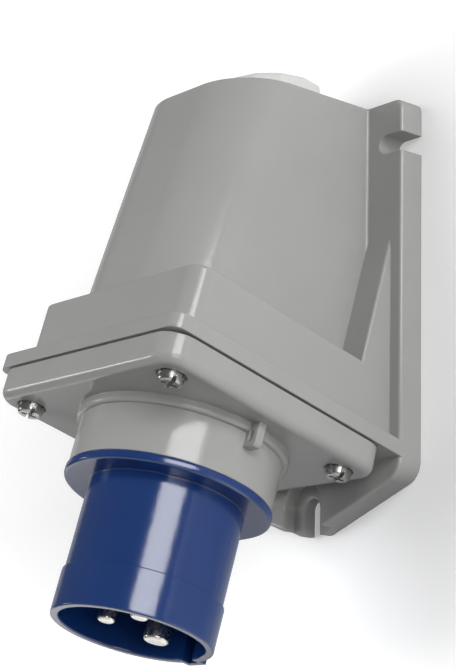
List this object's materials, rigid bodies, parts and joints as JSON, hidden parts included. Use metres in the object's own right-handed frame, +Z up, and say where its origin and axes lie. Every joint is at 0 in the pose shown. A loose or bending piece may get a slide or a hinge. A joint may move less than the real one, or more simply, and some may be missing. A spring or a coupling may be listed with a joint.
{
  "type": "cee wall inlet",
  "caption": "Wall-mounted power inlet: grey housing on a slotted plate, sloping square cover with a collar, and a blue shrouded plug insert with round pins; gland on top.",
  "frame": {"origin": "middle of the wall plate's back face, which lies on the wall", "axes": "+X to the right along the wall, +Y into the wall, +Z up; the plug leaves the housing downwards and outwards, 16 degrees off the vertical"},
  "size_m": [0.078, 0.0891, 0.1687],
  "materials": {
    "grey_plastic": "semi-gloss moulded grey",
    "blue_plastic": "glossy moulded blue",
    "pale_plastic": "satin light grey",
    "inner_plastic": "matt black",
    "steel": "zinc-plated steel",
    "nickel": "nickel-plated brass",
    "black_rubber": "matt rubber"
  },
  "bodies": {
    "root": {"housing": "grey_plastic", "cover": "grey_plastic", "cover_seal": "black_rubber", "cover_screws": "steel", "inlet_insert": "blue_plastic", "insert_seal": "black_rubber", "insert_screws": "steel", "pin_retainer": "inner_plastic", "retainer_screw": "steel", "line_pin": "nickel", "neutral_pin": "nickel", "earth_pin": "nickel", "terminal_screws": "steel", "gland_nut": "pale_plastic", "gland_washer": "pale_plastic", "gland_seal": "black_rubber"}
  },
  "joints": []
}
